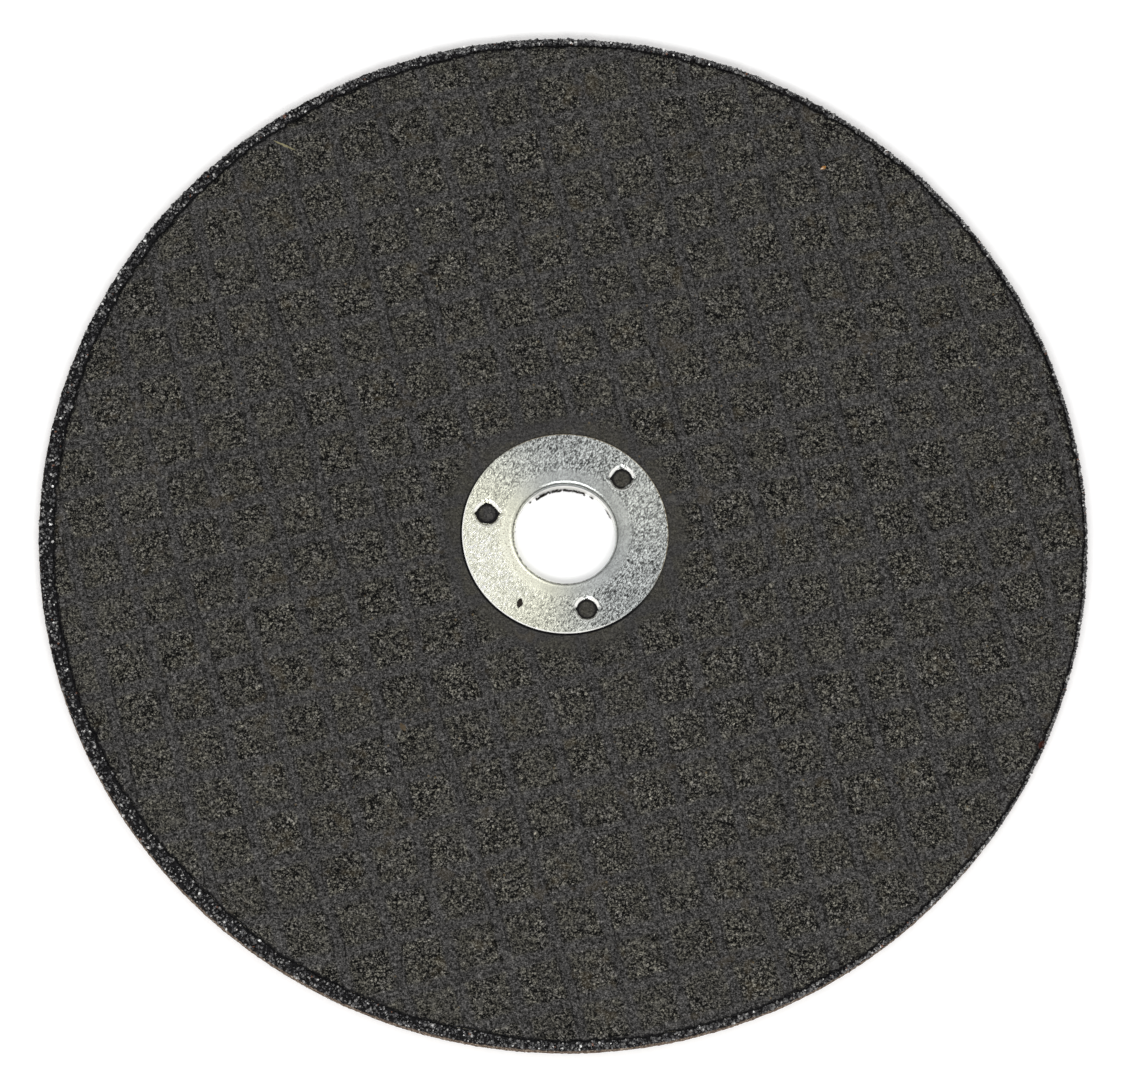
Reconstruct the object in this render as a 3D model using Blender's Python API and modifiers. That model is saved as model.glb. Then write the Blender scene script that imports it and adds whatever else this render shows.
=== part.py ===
"""Flat resin-bonded abrasive wheel for an angle grinder: 230 mm across, 4 mm thick, 22.23 mm bore.

The wheel is a stack of flat layers pressed round a steel centre ring. From the back face down:
ring flange, black fleece, glass net, abrasive, hub net, abrasive, glass net, paper label.
Metres, +Z up and along the bore. The origin is on the bore's axis, in the plane of the front face,
which lies downwards. Nothing in the wheel moves.
"""
import math

import bmesh
import bpy
from mathutils import Matrix

OBJECT_NAME = "cutting_wheel"

# Wheel, as such wheels are sold
WHEEL_RADIUS = 0.115
WHEEL_CENTRE = (0.0, 0.0)
WHEEL_THICKNESS = 0.004
BORE_RADIUS = 0.011115
LAYER_GAP = 0.00004

# Steel centre ring: a flat flange whose inner edge rolls over into a collar through the bore
RING_RADIUS = 0.02265
RING_SHEET = 0.00035
RING_EDGE_ROUND = 0.00015
ROLL_INNER_RADIUS = 0.0012
COLLAR_END_Z = 0.0001
PIERCING_COUNT = 3
PIERCING_CIRCLE_RADIUS = 0.0177
PIERCING_FIRST_ANGLE = math.radians(45.5)
PIERCING_RADIUS = 0.0021
PIERCING_MOUTH_RADIUS = 0.0027
MOUTH_DEPTH = 0.00024
MOUTH_OVERCUT = 0.0002

# Black fleece on the back, laid a little off centre together with the net under it
FLEECE_THICKNESS = 0.00016
FLEECE_RADIUS = 0.1131
BLANK_SHIFT = (0.00105, 0.00025)

# Glass nets: flat yarns that cross at right angles
NET_THICKNESS = 0.0003
NET_RADIUS = 0.1130
HUB_NET_RADIUS = 0.0575
YARN_PITCH = 0.0114
YARN_WIDTH = 0.0024
YARN_ANGLE = math.radians(15.2)
YARN_SHIFT = (-0.0035, 0.0009)

# Abrasive layers, with an upstanding lip round each net's pocket
LIP_GAP = 0.00035
LIP_DROP = 0.00003
LIP_CHAMFER = 0.00025

# Paper label on the front
LABEL_THICKNESS = 0.00012
LABEL_RADIUS = 0.055

# Holes in the layers, clear of the collar and of its roll
COLLAR_CLEARANCE = 0.0003
ROLL_CLEARANCE = 0.0001

# Facets round each circle
RIM_SEGMENTS = 120
RING_SEGMENTS = 72
PIERCING_SEGMENTS = 20
ROLL_STEPS = 4
CUT_MARGIN = 0.001
MERGE = 0.000001
SHARP_ANGLE = math.radians(40)

# Linear colours that several pieces share
GLASS_COLOUR = (0.55, 0.52, 0.42)
GRAIN_COLOUR = (0.04, 0.036, 0.034)

# Heights, from the back face down
RING_UNDER_Z = WHEEL_THICKNESS - RING_SHEET
FLEECE_TOP_Z = RING_UNDER_Z - LAYER_GAP
FLEECE_LOW_Z = FLEECE_TOP_Z - FLEECE_THICKNESS
BACK_NET_TOP_Z = FLEECE_LOW_Z - LAYER_GAP
BACK_NET_LOW_Z = BACK_NET_TOP_Z - NET_THICKNESS
BACK_LAYER_TOP_Z = BACK_NET_LOW_Z - LAYER_GAP
LABEL_TOP_Z = LABEL_THICKNESS
FRONT_NET_LOW_Z = LABEL_TOP_Z + LAYER_GAP
FRONT_NET_TOP_Z = FRONT_NET_LOW_Z + NET_THICKNESS
FRONT_LAYER_LOW_Z = FRONT_NET_TOP_Z + LAYER_GAP
MIDDLE_Z = (BACK_LAYER_TOP_Z + FRONT_LAYER_LOW_Z) / 2
HUB_NET_LOW_Z = MIDDLE_Z - NET_THICKNESS / 2
HUB_NET_TOP_Z = MIDDLE_Z + NET_THICKNESS / 2
FRONT_LAYER_TOP_Z = HUB_NET_LOW_Z - LAYER_GAP
BACK_LAYER_LOW_Z = HUB_NET_TOP_Z + LAYER_GAP
BACK_LIP_TOP_Z = FLEECE_TOP_Z - LIP_DROP
FRONT_LIP_LOW_Z = FRONT_NET_LOW_Z + LIP_DROP
FRONT_LAYER_RIM_Z = HUB_NET_TOP_Z

# Radii that follow from the ring
COLLAR_OUTER_RADIUS = BORE_RADIUS + RING_SHEET
ROLL_CENTRE_RADIUS = BORE_RADIUS + ROLL_INNER_RADIUS
ROLL_CENTRE_Z = WHEEL_THICKNESS - ROLL_INNER_RADIUS
LAYER_BORE_RADIUS = COLLAR_OUTER_RADIUS + COLLAR_CLEARANCE
TOP_LAYER_BORE_RADIUS = ROLL_CENTRE_RADIUS + ROLL_CLEARANCE
CELL_HALF = (YARN_PITCH - YARN_WIDTH) / 2
MOUTH_SLOPE = (PIERCING_MOUTH_RADIUS - PIERCING_RADIUS) / MOUTH_DEPTH


def clear_scene():
    for old in list(bpy.data.objects):
        bpy.data.objects.remove(old, do_unlink=True)


def new_collection(name):
    collection = bpy.data.collections.new(name)
    bpy.context.scene.collection.children.link(collection)
    return collection


def finish(piece, name, colour, roughness, metallic):
    """Gives the piece its own Principled material."""
    material = bpy.data.materials.new(name)
    material.use_nodes = True
    shader = material.node_tree.nodes["Principled BSDF"]
    shader.inputs["Base Color"].default_value = (*colour, 1.0)
    shader.inputs["Roughness"].default_value = roughness
    shader.inputs["Metallic"].default_value = metallic
    material.diffuse_color = (*colour, 1.0)
    piece.data.materials.append(material)
    return piece


def arc(centre_r, centre_z, radius, start, end, steps):
    """Points (r, z) on an arc, both ends included. Angles in degrees, 0 pointing outwards."""
    points = []
    for step in range(steps + 1):
        angle = math.radians(start + (end - start) * step / steps)
        points.append((centre_r + radius * math.cos(angle), centre_z + radius * math.sin(angle)))
    return points


def turned(name, profile, segments, collection):
    """A closed (r, z) profile swept round Z. It runs down its outer side, then in, up and out."""
    mesh = bpy.data.meshes.new(name)
    count = len(profile)
    edges = [(i, (i + 1) % count) for i in range(count)]
    mesh.from_pydata([(r, 0.0, z) for r, z in profile], edges, [])
    piece = bpy.data.objects.new(name, mesh)
    collection.objects.link(piece)
    screw = piece.modifiers.new("turn", "SCREW")
    screw.axis = "Z"
    screw.angle = 2 * math.pi
    screw.steps = segments
    screw.render_steps = segments
    screw.use_merge_vertices = True
    screw.merge_threshold = MERGE
    return smooth_by_angle(piece)


def smooth_by_angle(piece):
    """Replaces the modifiers by their result, shaded smooth except at sharp edges."""
    graph = bpy.context.evaluated_depsgraph_get()
    mesh = bpy.data.meshes.new_from_object(piece.evaluated_get(graph))
    piece.modifiers.clear()
    piece.data = mesh
    mesh.shade_smooth()
    mesh.set_sharp_from_angle(angle=SHARP_ANGLE)
    return piece


def cone(name, low_radius, top_radius, low, top, segments, collection, centre=(0.0, 0.0)):
    """A capped cone or cylinder from low to top, on a vertical axis through centre."""
    mesh = bpy.data.meshes.new(name)
    shape = bmesh.new()
    bmesh.ops.create_cone(
        shape,
        cap_ends=True,
        segments=segments,
        radius1=low_radius,
        radius2=top_radius,
        depth=top - low,
        matrix=Matrix.Translation((0.0, 0.0, (low + top) / 2)),
    )
    shape.to_mesh(mesh)
    shape.free()
    mesh.shade_smooth()
    mesh.set_sharp_from_angle(angle=SHARP_ANGLE)
    piece = bpy.data.objects.new(name, mesh)
    piece.location = (*centre, 0.0)
    collection.objects.link(piece)
    return piece


def boolean(piece, cutter, operation):
    """Cuts with the MANIFOLD solver: EXACT leaves gaps in the nets and at the ring's piercings."""
    cutter.hide_render = True
    cutter.display_type = "WIRE"
    modifier = piece.modifiers.new(cutter.name, "BOOLEAN")
    modifier.operation = operation
    modifier.solver = "MANIFOLD"
    modifier.object = cutter


def cut_bore(piece, radius, low, top, cutters):
    name = piece.name + "_bore"
    low -= CUT_MARGIN
    top += CUT_MARGIN
    cutter = cone(name, radius, radius, low, top, RING_SEGMENTS, cutters)
    boolean(piece, cutter, "DIFFERENCE")


def square(curve, x, y, half):
    """Adds a square outline to a flat curve."""
    corners = [(-half, -half), (half, -half), (half, half), (-half, half)]
    spline = curve.splines.new("POLY")
    spline.points.add(len(corners) - 1)
    for point, (dx, dy) in zip(spline.points, corners):
        point.co = (x + dx, y + dy, 0.0, 1.0)
    spline.use_cyclic_u = True


def net_sheet(name, radius, low, collection):
    """A square sheet of crossing flat yarns, wider than radius, with its underside at low."""
    cells = math.ceil(radius / YARN_PITCH) + 1
    curve = bpy.data.curves.new(name, "CURVE")
    curve.dimensions = "2D"
    curve.fill_mode = "BOTH"
    curve.extrude = NET_THICKNESS / 2
    square(curve, 0.0, 0.0, cells * YARN_PITCH + YARN_WIDTH)
    for column in range(-cells, cells):
        for row in range(-cells, cells):
            x = (column + 0.5) * YARN_PITCH
            y = (row + 0.5) * YARN_PITCH
            if math.hypot(x, y) < radius + YARN_PITCH:
                square(curve, x, y, CELL_HALF)
    outline = bpy.data.objects.new(name + "_outline", curve)
    collection.objects.link(outline)
    graph = bpy.context.evaluated_depsgraph_get()
    mesh = bpy.data.meshes.new_from_object(outline.evaluated_get(graph))
    bpy.data.objects.remove(outline, do_unlink=True)
    shape = bmesh.new()
    shape.from_mesh(mesh)
    bmesh.ops.remove_doubles(shape, verts=shape.verts, dist=MERGE)
    shape.to_mesh(mesh)
    shape.free()
    sheet = bpy.data.objects.new(name, mesh)
    sheet.location = (*YARN_SHIFT, low + NET_THICKNESS / 2)
    sheet.rotation_euler = (0.0, 0.0, YARN_ANGLE)
    collection.objects.link(sheet)
    return sheet


def glass_net(name, radius, low, bore, centre, parts, cutters):
    """A net cut to a disc, with its yarn ends open at the rim."""
    net = net_sheet(name, radius, low, parts)
    top = low + NET_THICKNESS
    blank = cone(
        name + "_blank",
        radius,
        radius,
        low - CUT_MARGIN,
        top + CUT_MARGIN,
        RIM_SEGMENTS,
        cutters,
        centre,
    )
    boolean(net, blank, "INTERSECT")
    cut_bore(net, bore, low, top, cutters)
    flatten = net.modifiers.new("merge_flat_faces", "DECIMATE")
    flatten.decimate_type = "DISSOLVE"
    flatten.angle_limit = math.radians(1)
    return finish(net, name, GLASS_COLOUR, 0.55, 0.0)


def centre_ring(parts, cutters):
    """Flange, roll and collar in one sheet, pierced three times with a sloping mouth."""
    corner_r = RING_RADIUS - RING_EDGE_ROUND
    corner_z = WHEEL_THICKNESS - RING_EDGE_ROUND
    roll_outer_radius = ROLL_INNER_RADIUS - RING_SHEET
    profile = arc(corner_r, corner_z, RING_EDGE_ROUND, 90, 0, 2)
    profile += [(RING_RADIUS, RING_UNDER_Z)]
    profile += arc(ROLL_CENTRE_RADIUS, ROLL_CENTRE_Z, roll_outer_radius, 90, 180, ROLL_STEPS)
    profile += [(COLLAR_OUTER_RADIUS, COLLAR_END_Z), (BORE_RADIUS, COLLAR_END_Z)]
    profile += arc(ROLL_CENTRE_RADIUS, ROLL_CENTRE_Z, ROLL_INNER_RADIUS, 180, 90, ROLL_STEPS)
    ring = turned("centre_ring", profile, RING_SEGMENTS, parts)
    for index in range(PIERCING_COUNT):
        angle = PIERCING_FIRST_ANGLE + index * 2 * math.pi / PIERCING_COUNT
        centre = (PIERCING_CIRCLE_RADIUS * math.cos(angle), PIERCING_CIRCLE_RADIUS * math.sin(angle))
        hole = cone(
            f"piercing_{index + 1}",
            PIERCING_RADIUS,
            PIERCING_RADIUS,
            RING_UNDER_Z - CUT_MARGIN,
            WHEEL_THICKNESS + CUT_MARGIN,
            PIERCING_SEGMENTS,
            cutters,
            centre,
        )
        boolean(ring, hole, "DIFFERENCE")
        mouth = cone(
            f"piercing_mouth_{index + 1}",
            PIERCING_RADIUS - MOUTH_SLOPE * MOUTH_OVERCUT,
            PIERCING_MOUTH_RADIUS + MOUTH_SLOPE * MOUTH_OVERCUT,
            WHEEL_THICKNESS - MOUTH_DEPTH - MOUTH_OVERCUT,
            WHEEL_THICKNESS + MOUTH_OVERCUT,
            PIERCING_SEGMENTS,
            cutters,
            centre,
        )
        boolean(ring, mouth, "DIFFERENCE")
    return finish(ring, "zinc_plated_steel", (0.72, 0.72, 0.66), 0.36, 1.0)


def back_fleece(parts, cutters):
    fleece = cone(
        "back_fleece",
        FLEECE_RADIUS,
        FLEECE_RADIUS,
        FLEECE_LOW_Z,
        FLEECE_TOP_Z,
        RIM_SEGMENTS,
        parts,
        BLANK_SHIFT,
    )
    cut_bore(fleece, TOP_LAYER_BORE_RADIUS, FLEECE_LOW_Z, FLEECE_TOP_Z, cutters)
    return finish(fleece, "black_fleece", (0.045, 0.043, 0.039), 0.9, 0.0)


def back_abrasive_layer(parts, cutters):
    """An annulus whose lip stands up round the fleece and its net, which lie off centre."""
    profile = [
        (WHEEL_RADIUS - LIP_CHAMFER, BACK_LIP_TOP_Z),
        (WHEEL_RADIUS, BACK_LIP_TOP_Z - LIP_CHAMFER),
        (WHEEL_RADIUS, BACK_LAYER_LOW_Z),
        (LAYER_BORE_RADIUS, BACK_LAYER_LOW_Z),
        (LAYER_BORE_RADIUS, BACK_LIP_TOP_Z),
    ]
    layer = turned("back_abrasive_layer", profile, RIM_SEGMENTS, parts)
    pocket = cone(
        "back_pocket",
        FLEECE_RADIUS + LIP_GAP,
        FLEECE_RADIUS + LIP_GAP,
        BACK_LAYER_TOP_Z,
        BACK_LIP_TOP_Z + CUT_MARGIN,
        RIM_SEGMENTS,
        cutters,
        BLANK_SHIFT,
    )
    boolean(layer, pocket, "DIFFERENCE")
    return finish(layer, "back_abrasive", GRAIN_COLOUR, 0.8, 0.0)


def front_abrasive_layer(parts):
    """An annulus with a shallow pocket for the hub net and a lip down round the front net."""
    pocket_radius = NET_RADIUS + LIP_GAP
    hub_pocket_radius = HUB_NET_RADIUS + LIP_GAP
    profile = [
        (WHEEL_RADIUS, FRONT_LAYER_RIM_Z),
        (WHEEL_RADIUS, FRONT_LIP_LOW_Z + LIP_CHAMFER),
        (WHEEL_RADIUS - LIP_CHAMFER, FRONT_LIP_LOW_Z),
        (pocket_radius, FRONT_LIP_LOW_Z),
        (pocket_radius, FRONT_LAYER_LOW_Z),
        (LAYER_BORE_RADIUS, FRONT_LAYER_LOW_Z),
        (LAYER_BORE_RADIUS, FRONT_LAYER_TOP_Z),
        (hub_pocket_radius, FRONT_LAYER_TOP_Z),
        (hub_pocket_radius, FRONT_LAYER_RIM_Z),
    ]
    layer = turned("front_abrasive_layer", profile, RIM_SEGMENTS, parts)
    return finish(layer, "front_abrasive", GRAIN_COLOUR, 0.8, 0.0)


def paper_label(parts):
    profile = [
        (LABEL_RADIUS, LABEL_TOP_Z),
        (LABEL_RADIUS, 0.0),
        (LAYER_BORE_RADIUS, 0.0),
        (LAYER_BORE_RADIUS, LABEL_TOP_Z),
    ]
    label = turned("paper_label", profile, RING_SEGMENTS, parts)
    return finish(label, "label_paper", (0.62, 0.6, 0.54), 0.7, 0.0)


def build():
    clear_scene()
    parts = new_collection(OBJECT_NAME)
    cutters = new_collection(OBJECT_NAME + "_cutters")
    centre_ring(parts, cutters)
    back_fleece(parts, cutters)
    for name, radius, low, bore, centre in (
        ("back_glass_net", NET_RADIUS, BACK_NET_LOW_Z, TOP_LAYER_BORE_RADIUS, BLANK_SHIFT),
        ("hub_glass_net", HUB_NET_RADIUS, HUB_NET_LOW_Z, LAYER_BORE_RADIUS, WHEEL_CENTRE),
        ("front_glass_net", NET_RADIUS, FRONT_NET_LOW_Z, LAYER_BORE_RADIUS, WHEEL_CENTRE),
    ):
        glass_net(name, radius, low, bore, centre, parts, cutters)
    back_abrasive_layer(parts, cutters)
    front_abrasive_layer(parts)
    paper_label(parts)


build()
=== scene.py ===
"""Looks of the flat abrasive wheel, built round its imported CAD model.

The camera looks down on the back of the wheel: black fleece over a glass net, a band of bare grain
round the rim, and a pierced, zinc-plated steel ring round the bore. The front lies on the floor.
"""

import functools
import itertools
import math

import bmesh
import bpy
import numpy as np
from mathutils import Matrix, Vector


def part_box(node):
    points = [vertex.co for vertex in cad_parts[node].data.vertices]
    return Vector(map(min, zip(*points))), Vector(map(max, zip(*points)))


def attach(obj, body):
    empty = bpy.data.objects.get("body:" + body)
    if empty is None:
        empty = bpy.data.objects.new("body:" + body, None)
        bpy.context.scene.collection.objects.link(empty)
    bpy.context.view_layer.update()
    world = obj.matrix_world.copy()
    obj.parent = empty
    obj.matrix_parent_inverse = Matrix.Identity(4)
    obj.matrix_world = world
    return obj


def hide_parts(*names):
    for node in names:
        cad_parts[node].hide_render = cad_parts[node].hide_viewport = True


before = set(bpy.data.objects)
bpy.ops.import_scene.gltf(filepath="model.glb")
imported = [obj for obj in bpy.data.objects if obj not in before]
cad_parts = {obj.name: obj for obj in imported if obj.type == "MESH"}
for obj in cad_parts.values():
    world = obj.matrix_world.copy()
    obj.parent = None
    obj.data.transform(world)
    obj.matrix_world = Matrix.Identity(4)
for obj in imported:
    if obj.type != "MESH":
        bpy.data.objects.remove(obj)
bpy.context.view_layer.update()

MM = 0.001
SEED = 7

# Places and sizes that the frame gives
ring_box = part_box("centre_ring")
fleece_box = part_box("back_fleece")
back_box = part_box("back_abrasive_layer")
front_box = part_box("front_abrasive_layer")
WHEEL_R = (back_box[1].x - back_box[0].x) / 2
RING_R = (ring_box[1].x - ring_box[0].x) / 2
RING_TOP = ring_box[1].z
RING_LOW = ring_box[0].z
FLEECE_R = (fleece_box[1].x - fleece_box[0].x) / 2
FLEECE_CENTRE = (fleece_box[0] + fleece_box[1]) / 2
FLEECE_TOP = fleece_box[1].z
FLEECE_LOW = fleece_box[0].z
SEAM_Z = (back_box[0].z + front_box[1].z) / 2

# Sizes that the frame doesn't give
BORE_R = 11.115 * MM
ROLL_R = 1.2 * MM
SHEET = 0.35 * MM
FLEECE_BORE_R = 12.4 * MM
LAYER_BORE_R = 11.8 * MM

# The glass net under the fleece
NET_ANGLE = math.radians(15.2)
NET_PITCH = 11.4 * MM
NET_SHIFT = (-3.54 * MM, 0.85 * MM)
YARN_HALF = 1.2 * MM
NET_SLACK = 0.45 * MM

# Runs of resin flash in the bore: from and to in degrees, number of bits and how far they reach in
FLASH_RUNS = (
    (66, 92, 64, 0.52 * MM),
    (94, 122, 68, 0.58 * MM),
    (123, 126, 9, 0.7 * MM),
    (133, 134, 3, 0.3 * MM),
    (55, 60, 7, 0.4 * MM),
    (24, 36, 8, 0.22 * MM),
    (168, 190, 5, 0.1 * MM),
)

# Direction in degrees of the side where painted shadow lies under the ring's flange, as if it stood off
# the fleece a little there: near and to the left
FLANGE_SHADOW_SIDE = 235.2


# ------------ noise in numpy

def hashed(cell, seed):
    """A number from 0 to 1 for each row of whole numbers, the same every run."""
    n = cell.astype(np.int64).astype(np.uint32)
    with np.errstate(over="ignore"):
        h = n[:, 0] * np.uint32(73856093)
        h ^= n[:, 1] * np.uint32(19349663)
        h ^= n[:, 2] * np.uint32(83492791)
        h ^= np.uint32((seed * 2654435761) & 0xFFFFFFFF)
        for shift, factor in ((16, 0x7FEB352D), (15, 0x846CA68B), (16, 1)):
            h ^= h >> np.uint32(shift)
            h *= np.uint32(factor)
    return h / 4294967296.0


def noise(points, size, seed):
    """Smooth noise from -1 to 1, with lumps about size across."""
    scaled = points / size
    base = np.floor(scaled)
    part = scaled - base
    part = part ** 3 * (part * (part * 6 - 15) + 10)
    total = np.zeros(len(points))
    for corner in itertools.product((0, 1), repeat=3):
        near = np.array(corner)
        weight = np.prod(np.where(near, part, 1 - part), axis=1)
        total += weight * hashed(base + near, seed)
    return total * 2 - 1


def layered_noise(points, size, seed, layers=3):
    total = np.zeros(len(points))
    reach = 0.0
    for layer in range(layers):
        share = 0.5 ** layer
        total += share * noise(points, size * share, seed + layer)
        reach += share
    return total / reach


def cells(points, size, seed):
    """Distances to the nearest and second nearest of scattered points, and the nearest one's number."""
    scaled = points / size
    base = np.floor(scaled)
    first = np.full(len(points), 9.0)
    second = np.full(len(points), 9.0)
    own = np.zeros(len(points))
    for step in itertools.product((-1, 0, 1), repeat=3):
        cell = base + np.array(step)
        site = cell + np.stack([hashed(cell, seed + axis) for axis in range(3)], axis=1)
        distance = np.sqrt(((site - scaled) ** 2).sum(axis=1))
        closer = distance < first
        second = np.where(closer, first, np.minimum(second, distance))
        own = np.where(closer, hashed(cell, seed + 5), own)
        first = np.where(closer, distance, first)
    return first, second, own


def polar(points):
    """Each point's distance from the bore's axis and its angle round it."""
    return np.hypot(points[:, 0], points[:, 1]), np.arctan2(points[:, 1], points[:, 0])


def flattened(points):
    return points * np.array([1.0, 1.0, 0.0])


def angle_between(angle, place):
    """How far an angle lies past a place on the circle, from -pi to pi."""
    return (angle - place + math.pi) % (2 * math.pi) - math.pi


def smooth(low, high, value):
    """0 below low, 1 above high, and a smooth step between."""
    t = np.clip((value - low) / (high - low), 0.0, 1.0)
    return t * t * (3 - 2 * t)


# ------------ mesh building

class Loops:
    """Collects closed loops of points round the bore, and the faces between them."""

    def __init__(self):
        self.points = []
        self.faces = []
        self.count = 0

    def loop(self, points):
        start = self.count
        self.points.append(np.asarray(points, float))
        self.count += len(points)
        return np.arange(start, self.count)

    def ring(self, radius, height, segments):
        """A loop at a radius and a height, each a number or one value for each point."""
        return self.loop(on_circle(radius, turn(segments), height))

    def join(self, a, b):
        """Faces between two loops, one of which may have a whole multiple of the other's points."""
        if len(a) > len(b):
            a, b = b, a
        ratio = len(b) // len(a)
        for i in range(len(a)):
            after = (i + 1) % len(a)
            if ratio == 1:
                self.faces.append((a[i], b[i], b[after], a[after]))
                continue
            for k in range(ratio):
                first = b[i * ratio + k]
                last = b[(i * ratio + k + 1) % len(b)]
                self.faces.append((a[i] if k < ratio / 2 else a[after], first, last))
            middle = b[(i * ratio + (ratio + 1) // 2) % len(b)]
            self.faces.append((a[i], middle, a[after]))

    def all_points(self):
        return np.concatenate(self.points)

    def piece(self, name):
        """An object with these faces, normals outwards, shaded smooth."""
        mesh = bpy.data.meshes.new(name)
        mesh.from_pydata(self.all_points().tolist(), [], [tuple(int(i) for i in f) for f in self.faces])
        return shaded(new_object(name, mesh))


def on_circle(radius, angle, height):
    """Points at a radius, an angle and a height, each a number or one value for each point."""
    x = radius * np.cos(angle)
    y = radius * np.sin(angle)
    return np.stack([x, y, np.broadcast_to(height, x.shape)], axis=1)


def turn(segments):
    return np.arange(segments) * (2 * math.pi / segments)


def new_object(name, data):
    made = bpy.data.objects.new(name, data)
    bpy.context.scene.collection.objects.link(made)
    return made


def shaded(piece, sharp=None):
    """Turns the faces outwards and shades them smooth, with sharp edges above an angle if given."""
    shape = bmesh.new()
    shape.from_mesh(piece.data)
    bmesh.ops.recalc_face_normals(shape, faces=shape.faces)
    shape.to_mesh(piece.data)
    shape.free()
    piece.data.shade_smooth()
    if sharp is not None:
        piece.data.set_sharp_from_angle(angle=math.radians(sharp))
    return piece


def store(piece, name, values):
    """Keeps one number for each vertex, for the material to read."""
    attribute = piece.data.attributes.new(name, "FLOAT", "POINT")
    attribute.data.foreach_set("value", np.asarray(values, np.float32))


def vertices(piece):
    flat = np.zeros(len(piece.data.vertices) * 3, np.float32)
    piece.data.vertices.foreach_get("co", flat)
    return flat.reshape(-1, 3).astype(float)


def set_vertices(piece, points):
    piece.data.vertices.foreach_set("co", points.astype(np.float32).ravel())
    piece.data.update()


# ------------ materials

class Graph:
    """A node material whose textures use positions in millimetres."""

    def __init__(self, name):
        self.material = bpy.data.materials.new(name)
        self.material.use_nodes = True
        self.tree = self.material.node_tree
        self.shader = self.tree.nodes["Principled BSDF"]
        place = self.tree.nodes.new("ShaderNodeTexCoord").outputs["Object"]
        self.place = self.vector("SCALE", place, scale=1000.0)

    def node(self, kind, inputs, **settings):
        made = self.tree.nodes.new(kind)
        for key, value in settings.items():
            setattr(made, key, value)
        for key, value in inputs.items():
            self.feed(made.inputs[key], value)
        return made

    def feed(self, socket, value):
        if isinstance(value, bpy.types.NodeSocket):
            self.tree.links.new(value, socket)
        elif isinstance(value, tuple) and len(value) == 3 and socket.type == "RGBA":
            socket.default_value = (*value, 1.0)
        else:
            socket.default_value = value

    def set(self, **inputs):
        for key, value in inputs.items():
            self.feed(self.shader.inputs[key.replace("_", " ")], value)

    def vector(self, operation, a, b=None, scale=None):
        inputs = {0: a}
        if b is not None:
            inputs[1] = b
        if scale is not None:
            inputs["Scale"] = scale
        return self.node("ShaderNodeVectorMath", inputs, operation=operation).outputs[0]

    def math(self, operation, a, b=0.0, c=0.0):
        inputs = {0: a, 1: b, 2: c}
        return self.node("ShaderNodeMath", inputs, operation=operation).outputs[0]

    def times(self, *values):
        return functools.reduce(lambda a, b: self.math("MULTIPLY", a, b), values)

    def plus(self, *values):
        return functools.reduce(lambda a, b: self.math("ADD", a, b), values)

    def minus(self, a, b):
        return self.math("SUBTRACT", a, b)

    def strongest(self, *values):
        return functools.reduce(lambda a, b: self.math("MAXIMUM", a, b), values)

    def around_zero(self, value, gain):
        """A value from 0 to 1 moved to lie round 0, and scaled."""
        return self.times(self.minus(value, 0.5), gain)

    def near(self, value, middle, inner, outer):
        """1 where a value is within inner of the middle, fading to 0 at outer."""
        off = self.math("ABSOLUTE", self.minus(value, middle))
        return self.fade(off, inner, outer)

    def radius(self):
        """Distance from the bore's axis in millimetres."""
        x, y, _ = self.separate(self.place)
        return self.math("SQRT", self.plus(self.times(x, x), self.times(y, y)))

    def turned(self, degrees, place=None):
        """How far a place lies along a direction in the wheel's plane and across it, and its height."""
        x, y, z = self.separate(self.place if place is None else place)
        cosine = math.cos(math.radians(degrees))
        sine = math.sin(math.radians(degrees))
        along = self.plus(self.times(x, cosine), self.times(y, sine))
        across = self.minus(self.times(y, cosine), self.times(x, sine))
        return along, across, z

    def toward(self, degrees):
        """From -1 to 1: how nearly a place lies in a direction from the bore's axis."""
        return self.math("DIVIDE", self.turned(degrees)[0], self.radius())

    def attribute(self, name):
        return self.node("ShaderNodeAttribute", {}, attribute_name=name).outputs["Fac"]

    def separate(self, vector):
        return self.node("ShaderNodeSeparateXYZ", {0: vector}).outputs

    def noise(self, size, detail=2.0, roughness=0.5, distortion=0.0, place=None, seed=0.0):
        """Noise from 0 to 1 with lumps about size millimetres across."""
        place = self.place if place is None else place
        if seed:
            place = self.vector("ADD", place, (seed * 13.7, seed * 51.3, seed * 29.1))
        inputs = {
            "Vector": place,
            "Scale": 1.0 / size,
            "Detail": detail,
            "Roughness": roughness,
            "Distortion": distortion,
        }
        return self.node("ShaderNodeTexNoise", inputs).outputs["Fac"]

    def voronoi(self, size, feature="F1", place=None, output="Distance"):
        inputs = {"Vector": self.place if place is None else place, "Scale": 1.0 / size}
        return self.node("ShaderNodeTexVoronoi", inputs, feature=feature).outputs[output]

    def remap(self, value, low, high, to_low=0.0, to_high=1.0, kind="SMOOTHSTEP"):
        inputs = {0: value, 1: low, 2: high, 3: to_low, 4: to_high}
        return self.node("ShaderNodeMapRange", inputs, interpolation_type=kind).outputs[0]

    def fade(self, value, low, high):
        """1 below low, 0 above high, and smooth between."""
        return self.remap(value, low, high, 1.0, 0.0)

    def mix(self, share, a, b):
        made = self.node("ShaderNodeMix", {}, data_type="RGBA")
        self.feed(made.inputs[0], share)
        self.feed(made.inputs[6], a)
        self.feed(made.inputs[7], b)
        return made.outputs[2]

    def layered(self, colour, *layers):
        """The colour with others over it, each given by its mask, its share and its colour."""
        for mask, share, top in layers:
            colour = self.mix(self.times(mask, share), colour, top)
        return colour

    def bump(self, height, depth):
        """Relief whose height, from 0 to 1, stands for depth millimetres."""
        inputs = {"Height": height, "Distance": depth * MM, "Strength": 1.0}
        return self.node("ShaderNodeBump", inputs).outputs[0]

    def scale_colour(self, colour, factor):
        return self.vector("SCALE", colour, scale=factor)


# ------------ fleece

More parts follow.
